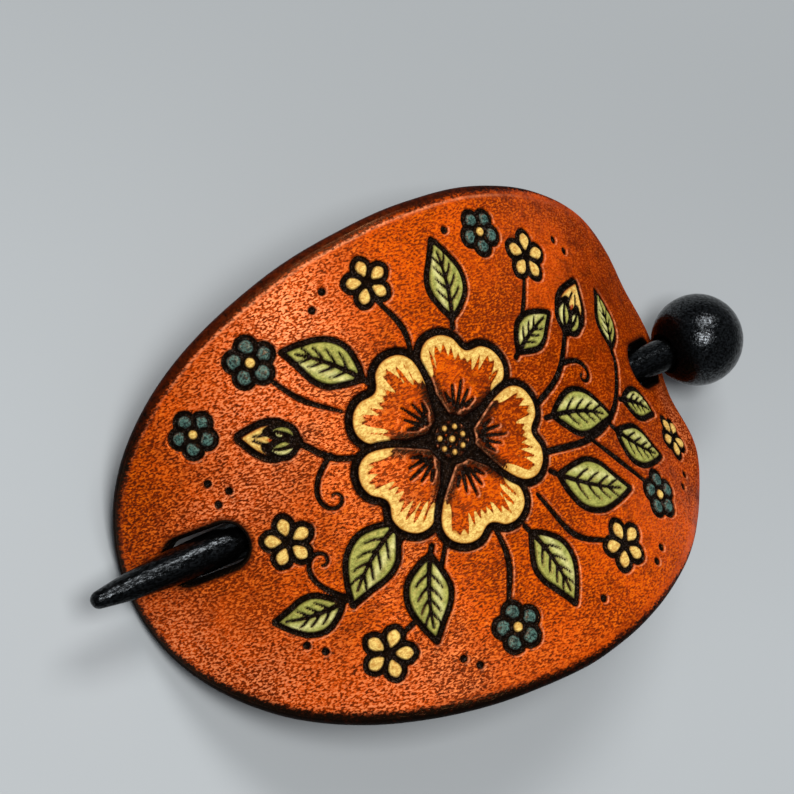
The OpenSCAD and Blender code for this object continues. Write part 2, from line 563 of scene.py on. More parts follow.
def tool_bud(work, at, turn, size):
    outline = placed(smooth_line(both_sides(BUD_HALF), 5, closed=True), at, turn, size)
    some, d = work.form(outline, 0.8)
    c, s = cos(radians(turn)), sin(radians(turn))
    rel = (work.points[some] - np.array(at)) @ np.array([[c, -s], [s, c]]) / size
    strokes = 1.2 * np.abs((rel[:, 1] * 1.5) % 2 - 1)
    keep_nearer(work.gold, some, np.maximum(d + 0.4, (3.2 + strokes - rel[:, 0]) * size))
    for side in (-1, 1):
        fold = smooth_line([(1.2, side * 0.5), (3.6, side * 0.95), (6.6, side * 0.35)], 4)
        work.cut(placed(fold, at, turn, size), (0.4, 0.4, 0.28))
    work.airbrush([outline], 0.7, 0.6, 0.95)
    foot = placed([(-0.6, 0)], at, turn, size)[0]
    for side in (-1, 1):
        tool_leaf(work, foot, turn + side * 42, 5.6 * size, -side * 56, veins=0, fat=0.95)


def tool_curl(work, at, turn, size, hand):
    """A tendril that winds in on itself; hand is 1 or -1 for the side to which it turns."""
    line = []
    p, heading = np.array(at, float), radians(turn)
    for k in range(26):
        line.append(p.copy())
        heading += hand * 0.02 * k
        p = p + size * 0.155 * (1 - k / 40) * np.array([cos(heading), sin(heading)])
    work.cut(line, (0.75, 0.7, 0.6, 0.45, 0.3))


# Leaves: foot, turn in degrees, length, turn along the leaf, pairs of veins
LEAVES = (
    ((-16.0, -5.5), 202, 13.0, 30), ((-13.5, -11.5), 238, 12.0, 24), ((2.0, -15.0), 292, 12.0, -26),
    ((10.5, -9.5), 320, 14.0, 22), ((14.0, -1.5), 352, 12.5, -24), ((25.5, -8.0), 308, 11.0, 28),
    ((30.5, -4.5), 338, 8.5, -16, 3), ((-12.0, 15.0), 126, 12.0, 24), ((4.5, 17.5), 68, 11.5, 22),
    ((13.0, 9.0), 30, 9.5, -22, 3), ((-27.5, -12.3), 186, 10.0, -26, 3), ((33.6, 3.2), 60, 9.0, 22, 3),
)
# Blossoms and florets: middle, size, turn in degrees
BLOSSOMS = (((-31.0, -1.5), 0.92, 10), ((-5.5, 27.0), 0.88, 90), ((22.5, 21.0), 0.95, 66),
            ((16.5, -23.0), 0.95, 20), ((-24.5, -21.5), 0.95, 50), ((41.0, -13.5), 0.85, 30))
FLORETS = (((-25.5, 23.5), 1.0, 10), ((-37.0, 17.6), 0.92, 30), ((29.0, -19.5), 1.0, 0),
           ((-6.0, -26.0), 1.0, 15), ((15.5, 27.0), 0.95, 40))
# Stems: points, widths along the cut
STEMS = (
    (((9.0, -5.5), (19.0, -7.0), (27.0, -5.0), (32.5, 0.5), (33.6, 4.0)), (0.9, 1.0, 0.9, 0.8)),
    (((12.0, 1.0), (18.5, 3.6), (24.0, 8.8)), (0.8, 0.9, 0.8)),
    (((-16.5, 5.0), (-20.5, 6.8), (-24.3, 11.0)), (0.7, 0.9, 0.8)),
    (((-13.0, -5.5), (-20.0, -9.5), (-27.5, -12.3)), (0.9, 1.0, 0.8)),
    (((-3.0, -11.0), (-3.2, -17.0), (-6.0, -22.8)), (0.5, 0.9, 0.6)),
    (((-10.5, -10.5), (-15.5, -17.0), (-21.5, -19.8)), (0.5, 0.9, 0.6)),
    (((5.5, -10.5), (8.5, -18.0), (13.8, -21.3)), (0.5, 0.9, 0.6)),
    (((19.0, -7.0), (23.0, -12.0), (26.8, -16.6)), (0.5, 0.9, 0.6)),
    (((-4.0, 14.0), (-3.4, 19.0), (-5.2, 24.0)), (0.5, 0.9, 0.6)),
    (((13.5, 9.5), (17.0, 14.0), (20.5, 18.6)), (0.5, 0.8, 0.5)),
    (((-16.5, 12.0), (-21.0, 15.8), (-24.2, 20.6)), (0.4, 0.8, 0.5)),
)
# Tendrils: start, turn in degrees, size, side to which it winds
CURLS = (((20.0, 4.6), -4, 3.6, -1), ((-27.0, -11.6), 136, 4.6, -1), ((-20.6, 7.2), 214, 4.8, 1))
DOTS = ((-38.0, 10.5), (-35.6, 8.4), (-37.8, 7.2), (9.4, 29.3), (-14.6, 26.6), (-12.2, 28.4), (23.6, -26.2),
        (21.4, -27.6), (-32.5, -17.6), (-34.6, -15.8), (38.8, -19.2), (36.6, -20.6), (32.0, 19.2),
        (30.4, 21.4), (8.6, -28.2), (-15.2, -26.6), (-13.4, -28.4))
DOT_WIDTH = 1.05
# The rose: middle, turn in degrees. The buds: foot, turn in degrees, size.
ROSE = ((-3.5, 2.0), 54)
BUDS = (((24.5, 9.0), 38, 0.95), ((-24.5, 11.0), 152, 0.85))
# Patches on the leather: middle, half width, half height, amount. These stand out from the bend by so many
# millimetres.
LIFTS = ((53, -19, 10, 6, 1.0), (44, 24, 11, 9, 0.45), (52, -8, 8, 5, -0.7), (50, 9, 8, 4, -0.45))
# Where the leather is made paler, or with less than nothing darker: partly uneven dye, partly painted light
# and shade
DYE_PATCHES = (
    (25, 4, 18, 14, -1.35), (38, -4, 12, 12, -1.0), (-52, 13, 9, 11, -0.9), (-40, -4, 6, 6, -0.5),
    (-26, 22, 12, 12, 0.4), (0, 29, 14, 6, 0.2), (26, -24, 14, 9, 0.25), (-3, 2, 10, 10, 0.5),
    (50, 13, 7, 9, -0.7), (-14, 14, 8, 8, -0.35), (46, -16, 7, 7, -0.2), (-51, -5, 5, 5, 0.4),
    (25, 15, 6, 6, 1.1), (-31, 8, 6, 6, -0.3), (8, 14, 7, 7, -0.3), (-14, -29, 8, 6, -0.25),
)
# Where the tops of the grain get a painted highlight, as if the light glared on them
PAINTED_HIGHLIGHT_PATCHES = (
    (-19, 28, 9, 9, 0.85), (-28, 16, 9, 9, 0.7), (-32, 4, 9, 8, 0.2), (-53, -9, 7, 8, 0.7),
    (-42, -19, 9, 8, 0.6), (-27, -28, 11, 6, 0.6), (-8, -32, 12, 5, 0.1), (-38, 6.5, 7, 3, 0.5),
    (46.5, -11, 3.5, 8, 0.55),
)
# Where the surface has no polish left
MATT_PATCHES = ((44, 8, 24, 26, 0.6), (50, -14, 12, 16, 0.4), (20, 2, 12, 10, 0.3))
# Where the grain is finer and shallower
CALM_PATCHES = ((36, 10, 28, 30, 0.8), (28, -24, 18, 12, 0.35), (-3, 2, 11, 12, 0.35), (-43, -7, 8, 4, 0.35))
# The rim's dye round the oval: angle in degrees, how much further in it reaches, how much of it is brown and
# not black, and how strong the painted highlight along the crease beside it is
RIM_DYE = (
    (0, -1.4, 0.5, 0), (30, -1.4, 0.5, 0), (45, -1.2, 0.5, 0), (60, -0.5, 0.2, 0.1), (75, -0.1, 0.4, 0.5),
    (90, 0.2, 0.5, 1), (120, 0.2, 0.5, 0.8), (135, 0.3, 0.42, 0.4), (150, 0.45, 0.1, 0.1),
    (165, 0.25, 0.15, 0), (195, 0.3, 0, 0), (210, 0.6, 0, 0), (240, 0.55, 0, 0.1), (255, 0.35, 0, 0.1),
    (270, 0.0, 0.1, 0), (285, -0.2, 0.2, 0), (300, -0.65, 0.1, 0), (315, -1.2, 0.5, 0), (330, -1.6, 0.5, 0),
)


def patches(rows, u, v):
    """Soft patches laid over each other, each at its middle with its half width, half height and amount."""
    return sum(amount * np.exp(-((u - at) / wide) ** 2 - ((v - up) / tall) ** 2)
               for at, up, wide, tall, amount in rows)


def tooled(points):
    """All that is tooled on the leather, in the order in which one thing covers another."""
    work = Tooling(points)
    for line, widths in STEMS:
        work.cut(smooth_line(line, 7), widths)
    for row in CURLS:
        tool_curl(work, *row)
    for at in DOTS:
        work.dot(at, DOT_WIDTH)
    for tool, rows in ((tool_leaf, LEAVES), (tool_blossom, BLOSSOMS), (tool_floret, FLORETS),
                       (tool_rose, [ROSE]), (tool_bud, BUDS)):
        for row in rows:
            tool(work, *row)
    return work


# Materials

class Finish:
    """The nodes of one material, added one after another."""

    def __init__(self, name):
        old = bpy.data.materials.get(name)
        if old:
            bpy.data.materials.remove(old)
        self.material = bpy.data.materials.new(name)
        self.material.use_nodes = True
        self.tree = self.material.node_tree
        self.tree.nodes.clear()
        self.place = self.add("TexCoord").outputs["Object"]

    def add(self, kind, inputs=None, **settings):
        node = self.tree.nodes.new("ShaderNode" + kind)
        for key, value in settings.items():
            setattr(node, key, value)
        for key, value in (inputs or {}).items():
            socket = node.inputs[key]
            if isinstance(value, bpy.types.NodeSocket):
                self.tree.links.new(value, socket)
            else:
                socket.default_value = value
        return node

    def value(self, name):
        """A number that the mesh keeps for each vertex."""
        return self.add("Attribute", attribute_name=name).outputs["Fac"]

    def math(self, operation, first, *others):
        """A sum worked out from left to right, one node for each value after the first."""
        for other in others:
            first = self.add("Math", {0: first, 1: other}, operation=operation).outputs[0]
        return first

    def plus(self, *values):
        return self.math("ADD", *values)

    def less(self, *values):
        return self.math("SUBTRACT", *values)

    def times(self, *values):
        return self.math("MULTIPLY", *values)

    def swing(self, pattern, amount):
        """How far a pattern is above or below its middle, times an amount."""
        return self.times(self.less(pattern, 0.5), amount)

    def fade(self, value, lo, hi, to_lo=0.0, to_hi=1.0):
        """Goes smoothly from to_lo at lo to to_hi at hi."""
        ends = {"Value": value, "From Min": lo, "From Max": hi, "To Min": to_lo, "To Max": to_hi}
        return self.add("MapRange", ends, interpolation_type="SMOOTHSTEP").outputs[0]

    def layers(self, colour, *coats):
        """A colour with coats over it. A coat is how much of it there is, and its own colour."""
        for amount, coat in coats:
            under, over = (c if isinstance(c, bpy.types.NodeSocket) else (*c, 1) for c in (colour, coat))
            colour = self.add("Mix", {0: amount, 6: under, 7: over}, data_type="RGBA").outputs[2]
        return colour

    def squeezed(self, place, share, turn=0.0):
        """A place whose patterns are drawn out along one axis, after a turn."""
        settings = {"Vector": place, "Rotation": (0, 0, turn), "Scale": (share, 1, 1)}
        return self.add("Mapping", settings).outputs[0]

    def towards(self, direction):
        """How far a place lies in some direction."""
        return self.add("VectorMath", {0: self.place, 1: direction}, operation="DOT_PRODUCT").outputs["Value"]

    def noise(self, size, detail=3.0, rough=0.55, warp=0.0, place=None):
        """Cloudy pattern with patches of a given size in millimetres."""
        settings = {"Vector": place or self.place, "Scale": 1 / (size * MM), "Detail": detail,
                    "Roughness": rough, "Distortion": warp}
        return self.add("TexNoise", settings).outputs[0]

    def pebbles(self, size, place):
        """Pebbles of a given size in millimetres."""
        return self.add("TexVoronoi", {"Vector": place, "Scale": 1 / (size * MM)}).outputs["Distance"]

    def bump(self, height, distance, strength=1.0, normal=None):
        """Height from 0 to 1 over a distance in millimetres."""
        node = self.add("Bump", {"Height": height, "Distance": distance * MM, "Strength": strength})
        if normal:
            self.tree.links.new(normal, node.inputs["Normal"])
        return node.outputs[0]

    def surface(self, **inputs):
        names = {key.replace("_", " "): value for key, value in inputs.items()}
        shader = self.add("BsdfPrincipled", names)
        self.add("OutputMaterial", {"Surface": shader.outputs[0]})
        return self.material


# The direction of the leather's grain, and the width of its folds as a share of their length
GRAIN_TURN = radians(27)
GRAIN_SHARE = 0.55
# The tints of what the leather and the wood mirror
LEATHER_TINT = (1, 0.42, 0.16, 1)
WOOD_TINT = (0.85, 0.93, 1, 1)


class LeatherFinish(Finish):
    """The tooled leather's grain, and what lies on it: dye, shade, paints, cuts and burnished edges."""

    def __init__(self, name, look, paints):
        super().__init__(name)
        self.look, self.paints = look, paints
        self.place = self.add("Attribute", attribute_name="flat").outputs["Vector"]
        self.cuts, self.shade, self.rim = (self.value(name) for name in ("cuts", "shade", "rim"))
        self.grain, self.matt, self.flesh = (self.value(name) for name in ("grain", "matt", "flesh"))

        # short worm-like folds with dyed hollows between them, rubbed smooth near the rim
        drawn = self.squeezed(self.place, GRAIN_SHARE, GRAIN_TURN)
        wrinkles = self.noise(0.35, 2, 0.6, 0.4, self.squeezed(drawn, GRAIN_SHARE))
        self.folds = self.plus(self.noise(0.27, 0.5, 0.5, 0.5, drawn), self.swing(wrinkles, 0.55))
        self.rubbed = self.fade(self.rim, 1.4, 2.8, 0.35, 1)
        self.hollow = self.times(self.fade(self.folds, 0.52, 0.32), self.rubbed)

        self.speckle = self.noise(0.24, 3, 0.75)
        self.blotches = self.noise(1.9, 5, 0.65)
        self.worn = self.noise(0.8, 5, 0.7)
        self.wobble = self.swing(self.noise(0.35, 4, 0.7), 0.25)

    def dyed(self):
        """Dye, uneven and rubbed pale on the grain's tops, dark in its hollows and pores, with painted light
        and shade.
        """
        look, blotches = self.look, self.blotches
        # The dye patches make it paler or darker, partly as uneven dye and partly as painted light and shade
        tone = self.plus(self.times(self.value("dye"), 0.35), self.noise(9, 5, 0.6, 0.4))
        tops = self.times(self.fade(self.folds, 0.46, 0.68), self.rubbed,
                          self.fade(self.grain, 0, 0.8, 0.35, 1))
        # Painted highlight: pinkish tops of the grain where the light would glare
        polished = self.times(tops, self.value("polish"), self.fade(self.speckle, 0.3, 0.6, 0.5, 1))
        sunk = self.times(self.hollow, self.grain, self.fade(blotches, 0.7, 0.35, 0.6, 1))
        stain = self.less(self.noise(2.6, 6, 0.75, 0.6), self.times(self.grain, 0.14))
        # Painted highlight along the crease beside the rim
        crease = self.times(self.value("crease"), self.fade(blotches, 0.35, 0.6, 0.4, 1))
        return self.layers(
            look.deep_colour,
            (self.fade(tone, 0.3, 0.66), look.leather_colour),
            (self.times(tops, self.fade(blotches, 0.3, 0.65, 0.3, 0.9)), look.light_colour),
            (polished, look.painted_highlight_colour),
            (sunk, look.pore_colour),
            (self.fade(self.speckle, 0.56, 0.7, 0, 0.75), look.pore_colour),
            (self.fade(stain, 0.42, 0.58, 0, 0.55), look.pore_colour),
            (crease, look.painted_highlight_colour))

    def shaded(self, colour):
        """Dark airbrushed shade, with a ragged edge."""
        ragged = self.plus(self.shade, self.swing(self.noise(0.5, 5, 0.7), 0.5),
                           self.times(self.hollow, self.shade, 0.5))
        return self.layers(colour, (self.fade(ragged, 0.12, 0.6, 0, 0.9), self.look.bleed_colour),
                           (self.fade(ragged, 0.5, 1.0), self.look.edge_colour))

    def painted(self, colour):
        """Worn paints, thin near their edges and in the grain; the leaves also get painted shade at their
        edges and a painted highlight stroke. Also gives where there is paint.
        """
        paints, worn = self.paints, self.worn
        gold, leaf, teal = (self.value(name) for name in ("gold", "leaf", "teal"))
        crack = self.math("ABSOLUTE", self.less(self.noise(0.5, 1, 0.5, 0.8), 0.5), 0.0)
        crackle = self.math("MAXIMUM", self.fade(crack, 0.05, 0.0, 0, 0.6), self.times(self.hollow, 0.5))
        gold_paint = self.layers(
            paints.gold_colour,
            (self.fade(worn, 0.42, 0.68, 0, 0.7), paints.gold_thin_colour),
            (self.fade(gold, -0.45, 0.0, 0, 0.85), paints.gold_thin_colour),
            (crackle, paints.gold_thin_colour))
        # The painted highlight stroke on the leaves
        stroke = self.times(self.value("streak"), self.fade(worn, 0.65, 0.4, 0.3, 0.85))
        leaf_paint = self.layers(
            paints.leaf_colour,
            (self.fade(worn, 0.4, 0.72, 0, 0.8), paints.leaf_dark_colour),
            # Painted shade and thinner paint: the leaf green darkens towards the leaf's edges
            (self.fade(leaf, -0.7, -0.1, 0, 0.9), paints.leaf_dark_colour),
            (self.times(crackle, 0.9), paints.leaf_dark_colour),
            (stroke, paints.leaf_pale_colour))
        teal_paint = self.layers(
            paints.teal_colour,
            (self.fade(self.noise(0.4, 2, 0.6, 1.0), 0.4, 0.6), paints.teal_dark_colour),
            (self.fade(teal, -0.8, -1.25, 0, 0.6), paints.teal_dark_colour))
        coats = [(self.fade(self.plus(distance, self.wobble), 0.02, -0.12), paint)
                 for distance, paint in ((gold, gold_paint), (leaf, leaf_paint), (teal, teal_paint))]
        dull = [self.fade(distance, 0.1, -0.1) for distance in (gold, leaf, teal)]
        return self.layers(colour, *coats), self.math("MAXIMUM", *dull)

    def blackened_cuts(self, colour, lip, dull):
        """A dark halo beside the cuts, a painted highlight on their lips on the lit side, then the cuts,
        scuffed grey in places.
        """
        look, worn = self.look, self.worn
        edge = self.plus(self.cuts, self.wobble)
        # Painted highlight on the cuts' lips that face the lit side, broken up by wear
        lip_highlight = self.times(lip, self.value("lip"), self.fade(worn, 0.38, 0.6, 0.1, 0.6),
                              self.fade(dull, 0, 1, 1, 0.15))
        scuffs = self.times(self.fade(self.speckle, 0.5, 0.66), self.fade(worn, 0.42, 0.6, 0, 0.6))
        return self.layers(
            colour,
            (self.fade(edge, 0.3, 0.0, 0, 0.4), look.bleed_colour),
            (lip_highlight, look.painted_highlight_colour),
            (self.fade(edge, 0.1, -0.02), self.layers(look.edge_colour, (scuffs, look.scuff_colour))))

    def burnished(self, colour):
        """Black dye, brown where it thins out, on the rim and round the slots."""
        look = self.look
        rim = self.less(self.plus(self.rim, self.swing(self.noise(0.7, 5, 0.75), 1.4),
                                  self.swing(self.fade(self.folds, 0.34, 0.66), 0.4)), self.value("burn"))
        scorched = self.fade(self.plus(self.value("scorch"), self.swing(self.worn, 1.6)), 0, 1)
        slot = self.plus(self.value("slot"), self.swing(self.noise(0.5, 4, 0.7), 0.25))
        return self.layers(
            colour,
            (self.fade(rim, 1.9, 1.2, 0, 0.9), look.bleed_colour),
            (self.times(self.fade(rim, 1.5, 0.9), scorched), look.edge_colour),
            (self.fade(slot, 1.5, 0.5, 0, 0.75), look.bleed_colour),
            (self.fade(slot, 0.7, 0.4), look.edge_colour))

    def suede(self):
        """The fibres of the flesh side."""
        fibres = self.noise(0.5, 6, 0.75, 1.2)
        return self.layers(self.look.flesh_colour, (self.fade(fibres, 0.3, 0.7), self.look.flesh_dark_colour))

    def roughness(self, dull, added):
        """The polish: duller in the hollows, on the flesh side and on the paints."""
        polish = self.fade(self.noise(1.1, 4, 0.65), 0.3, 0.75, 0.16 + added, 0.3 + added)
        return self.plus(polish, self.times(self.flesh, 0.45), self.times(self.hollow, 0.35), self.matt,
                         self.times(dull, 0.12))

    def relief(self, lip, dull):
        """The fine relief: grain, pores, soft dents, the cuts' crisp edges and their lips."""
        grain = self.less(1.0, self.times(self.hollow, self.fade(dull, 0, 1, 1, 0.5)))
        relief = self.bump(grain, 0.045)
        relief = self.bump(self.speckle, 0.012, 0.7, relief)
        relief = self.bump(self.noise(1.8, 4, 0.6), 0.09, 0.5, relief)
        relief = self.bump(self.fade(self.cuts, 0.12, -0.12, 1.0, 0.0), 0.12, 0.9, relief)
        return self.bump(lip, 0.05, 1.0, relief)


def leather_finish(name, look, paints, shine, added_roughness):
    """The leather's whole finish. shine is how strongly it mirrors."""
    f = LeatherFinish(name, look, paints)
    lip = f.times(f.fade(f.cuts, 0.08, 0.2), f.fade(f.cuts, 0.44, 0.28))
    colour, dull = f.painted(f.shaded(f.dyed()))
    colour = f.layers(f.burnished(f.blackened_cuts(colour, lip, dull)), (f.flesh, f.suede()))
    mirror = f.fade(f.matt, 0.0, 0.6, shine, shine * 0.15)
    return f.surface(Base_Color=colour, Roughness=f.roughness(dull, added_roughness),
                     Normal=f.relief(lip, dull), Specular_IOR_Level=mirror, Specular_Tint=LEATHER_TINT)


def wood_finish(name, look, speck, along, shine, dull_side):
    """Black wood with a fine broken grain, whose specks are along times as long as wide.

    dull_side is a direction, and the distances in it between which the polish sets in.
    """
    f = Finish(name)
    drawn = f.squeezed(f.place, 1 / along, -STICK_TURN)
    grain = f.noise(speck, 5, 0.7, 0.3, drawn)
    streaks = f.noise(speck * 2.4, 4, 0.6, 0.0, drawn)
    gloss = f.fade(streaks, 0.35, 0.65, look.wood_gloss, look.wood_gloss + 0.16)
    sparkle = f.fade(f.noise(speck * 0.8, 4, 0.65, 0.6, drawn), 0.44, 0.6, 0.1 * shine, shine)
    direction, dull_to, polished_from = dull_side
    polished = f.fade(f.towards(direction), dull_to * MM, polished_from * MM, 0.15, 1)
    relief = f.bump(grain, speck * 0.14, 0.6, f.bump(f.pebbles(speck * 1.1, drawn), speck * 0.12, 0.6))
    colour = f.layers(look.wood_colour, (f.fade(grain, 0.5, 0.8), look.wood_light_colour))
    return f.surface(Base_Color=colour, Roughness=gloss, Normal=relief,
                     Specular_IOR_Level=f.times(sparkle, polished), Specular_Tint=WOOD_TINT)


# The pieces

def on_stick(co):
    """Puts points along the stick's own axis in place. Its zero is the middle of the leather."""
    run = Vector((STICK_RUN, cos(STICK_SLOPE) * sin(STICK_TURN), -STICK_FALL))
    side = Vector((0, 0, 1)).cross(run).normalized()
    return co @ np.array([run, side, run.cross(side)]) + (CENTRE_X, 0, CROWN_Z - STICK_DROP)


# The tooling's relief in millimetres. A groove: half width. A lip beside it: height, place, half width.
# A raised form: height, distance over which it rises. The sunk ground round it: depth, distance over which it
# fades.
GROOVE_HALF = 0.34
LIP_H, LIP_AT, LIP_WIDE = 0.06, 0.5, 0.28
PILLOW_H, PILLOW_RISE = 0.16, 1.1
GROUND_H, GROUND_FADE = 0.12, 1.3
# The bevel towards the rim, and the fullness of the hand-cut oval at one place of its lower edge
BEVEL_H = 0.2
CUT_WAVE, CUT_BULGE, BULGE_TURN = 0.16, 0.4, 0.14
# The lit side of the cuts, whose lips there get a painted highlight, and the crease beside the rim, which
# gets a painted highlight: its place and half width
LIT_SIDE = (0.6, -0.8)
CREASE_AT, CREASE_WIDE = 1.85, 0.16


def sculpted(co, top, flesh, rim, slot, work, cut_depth):
    """Heights over the flat leather: rounded edges, tooling and an uneven hand-made surface."""
    z = co[:, 2]
    w = z.copy()
    w[top] = -np.maximum(rounded(rim, RIM_R), rounded(slot, SLOT_EDGE_R))[top]
    w[flesh] = (np.maximum(rounded(rim, RIM_BACK_R), rounded(slot, SLOT_EDGE_R)) - LEATHER_T)[flesh]
    wall = ~top & ~flesh
    high, low = np.where(rim < slot, -RIM_R, -SLOT_EDGE_R), RIM_BACK_R - LEATHER_T
    w[wall] = (high + (low - high) * (-z / LEATHER_T))[wall]

    cuts, body = work.cuts, work.body
    grooves = -cut_depth * (1 - ease(-GROOVE_HALF, GROOVE_HALF, cuts))
    lips = LIP_H * np.exp(-((cuts - LIP_AT) / LIP_WIDE) ** 2)
    pillows = PILLOW_H * (1 - np.exp(np.minimum(body, 0) / PILLOW_RISE))
    ground = -GROUND_H * np.exp(-np.maximum(body, 0) / GROUND_FADE) * ease(FAR, 1.5, body)
    level = ease(1.2, 3.2, rim[top]) * ease(0.9, 2.2, slot[top])
    uneven = 0.045 * wander(co[top], 5.0, 1) + 0.02 * wander(co[top], 1.4, 2)
    bevel = BEVEL_H * ease(2.6, 0.9, rim[top])
    w[top] += (grooves + lips + np.where(body < 0, pillows, ground)) * level + uneven - bevel
    w[flesh] += 0.05 * wander(co[flesh], 1.6, 3)
    return w


def hand_cut(u, v, rim):
    """The oval as a knife left it: a little wavy, and fuller at one place of its lower edge."""
    wave = CUT_WAVE * wander(np.column_stack([u, v, 0 * u]) / np.hypot(u, v)[:, None] * 40, 9.0, 4)
    wave += CUT_BULGE * np.exp(-((np.arctan2(u, -v) - BULGE_TURN) / 0.3) ** 2)
    grow = 1 + wave / 45 * ease(9, 0, rim)
    return u * grow, v * grow


def tip_slot_closed(u, v, w):
    """The tip-side slot closes in a little towards the flesh side."""
    x, y = along_slot(u, v, 0)
    past = x - np.clip(x, -SLOT_HALF, SLOT_HALF)
    away = np.hypot(past, y)
    squeeze = SLOT_SQUEEZE * np.clip(-w / LEATHER_T, 0, 1) * ease(3, 0, away - SLOT_R) / np.maximum(away, 1)
    c, s = cos(STICK_TURN), sin(STICK_TURN)
    return u - squeeze * (past * c - y * s), v - squeeze * (past * s + y * c)


def arched(u, v, w):
    """The flat leather bent round the arch, and pressed in a little where the ball touches it."""
    angle, radius = u / BEND_R, BEND_R + w + patches(LIFTS, u, v)
    co = np.column_stack([radius * np.sin(angle) + CENTRE_X, v, radius * np.cos(angle) + CROWN_Z - BEND_R])
    from_ball = co - on_stick((BALL_AT, 0, 0))
    away = np.linalg.norm(from_ball, axis=1)
    return co + from_ball / away[:, None] * np.maximum(BALL_R + BALL_CLEAR - away, 0)[:, None]


def cut_slopes(mesh, top, cuts, flat_top):
    """How squarely each place beside a cut faces the lit side, for the painted highlight on its lip, from 0
    to 1.
    """
    ends = np.empty(len(mesh.edges) * 2, np.int32)
    mesh.edges.foreach_get("vertices", ends)
    number = np.full(len(top), -1)
    number[top] = np.arange(top.sum())
    a, b = number[ends.reshape(-1, 2).T]
    both = (a >= 0) & (b >= 0)
    a, b = a[both], b[both]
    places = np.column_stack(flat_top)
    run = places[b] - places[a]
    rise = (cuts[b] - cuts[a]) / np.maximum((run ** 2).sum(1), 1e-9)
    slope = np.zeros((len(cuts), 2))
    for end in (a, b):
        np.add.at(slope, end, rise[:, None] * run)
    slope /= np.maximum(np.hypot(*slope.T), 1e-9)[:, None]
    return np.clip(slope @ LIT_SIDE, 0, 1)


def rim_dye(co, rim, u, v):
    """How much further in the rim's dye reaches, how much of it is brown, and the painted highlight along its
    crease.
    """
    turns = np.degrees(np.arctan2(v / LEATHER_WID, u / LEATHER_LEN))
    angles, *rows = np.array(RIM_DYE).T
    burn, brown, shine = (np.interp(turns, angles, row, period=360) for row in rows)
    crease = np.exp(-((rim - CREASE_AT - 0.1 * wander(co, 9.0, 12)) / CREASE_WIDE) ** 2)
    return burn, brown, shine * crease


def store_leather(mesh, co, places, top, flesh, rim, slot, work):
    """Keeps all that the leather's material reads."""
    flat_top = places[top, 0], places[top, 1]
    burn, brown, crease = rim_dye(co[top], rim[top], *flat_top)
    # Among these are painted highlights on the grain's tops, the rim's crease, the cuts' lips and the leaves,
    # and dye patches that are partly painted light and shade
    on_top = {
        "cuts": work.cuts, "gold": work.gold, "leaf": work.leaf, "teal": work.teal, "shade": work.shade,
        "streak": work.streak, "burn": burn, "scorch": 1 - brown, "crease": crease,
        "lip": cut_slopes(mesh, top, work.cuts, flat_top), "dye": patches(DYE_PATCHES, *flat_top),
        "polish": patches(PAINTED_HIGHLIGHT_PATCHES, *flat_top), "matt": patches(MATT_PATCHES, *flat_top),
        "grain": 1 - patches(CALM_PATCHES, *flat_top),
    }
    elsewhere = dict.fromkeys(("cuts", "gold", "leaf", "teal"), FAR) | {"scorch": 1, "grain": 1}
    for name, values in on_top.items():
        spread = np.full(len(co), float(elsewhere.get(name, 0)))
        spread[top] = values
        store(mesh, name, spread)
    store(mesh, "flat", places * MM)
    store(mesh, "rim", np.where(top, rim, 0))
    store(mesh, "slot", np.where(top, slot, np.where(slot < 1, 0, 9)))
    store(mesh, "flesh", np.where(flesh, ease(0.5, 1.3, np.minimum(rim, slot)), 0))


def make_leather_plate(look, paints):
    piece = start_empty("tooled_leather_plate")
    mesh = piece.data
    add_leather_face(mesh, 0, look, OUTER_RINGS, look.cell)
    add_leather_face(mesh, -LEATHER_T, look, FLESH_RINGS, look.flesh_cell)

    # the walls, drawn down from the outer face's outlines and joined to the flesh side's
    bm = bmesh.from_edit_mesh(mesh)
    select_edges(bm, outline_edges(bm, 0))
    for _ in range(WALL_STEPS):
        bpy.ops.mesh.extrude_region_move(TRANSFORM_OT_translate={"value": (0, 0, -LEATHER_T / WALL_STEPS)})
    merge_doubles(0.004)
    face_outwards()

    # sculpted flat, then cut, squeezed and bent
    co = coords(mesh)
    u, v, z = co.T
    top, flesh = z > -0.01, z < 0.01 - LEATHER_T
    rim, slot = edge_distances(u, v)
    work = tooled(co[top][:, :2])
    w = sculpted(co, top, flesh, rim, slot, work, paints.cut_depth)
    u, v = tip_slot_closed(*hand_cut(u, v, rim), w)
    put_coords(mesh, arched(u, v, w) * MM)
    bpy.ops.object.shade_smooth()

    store_leather(mesh, co, np.column_stack([u, v, w]), top, flesh, rim, slot, work)
    leather = leather_finish("tooled_leather", look, paints, shine=0.24, added_roughness=0.0)
    finished(piece, leather, "plate", "leather_plate")
    mesh.materials.append(leather_finish("black_edge_dye", look, paints, shine=0.06, added_roughness=0.3))
    black = (~top & ~flesh) | (top & ((rim < 1.15) | (slot < 0.25))) | (flesh & (np.minimum(rim, slot) < 0.6))
    black[top] |= work.cuts < 0.1
    use_second_material(mesh, black)


def stick_radius(x, length):
    """The stick's radius along its length, its outline smoothed between the tip and the neck."""
    fine = np.linspace(0, length, 600)
    curve = np.interp(fine, *np.array(STICK_OUTLINE).T)
    smooth = np.convolve(np.pad(curve, 20, mode="edge"), np.ones(41) / 41, mode="valid")
    curve += (smooth - curve) * ease(4, 9, fine) * ease(length - 5, length - 9, fine)
    radius = np.interp(x, fine, curve)
    round_tip = np.sqrt(np.maximum(x * (2 * TIP_R - x), 0))
    return np.where(x < TIP_R, np.minimum(radius, round_tip), radius)


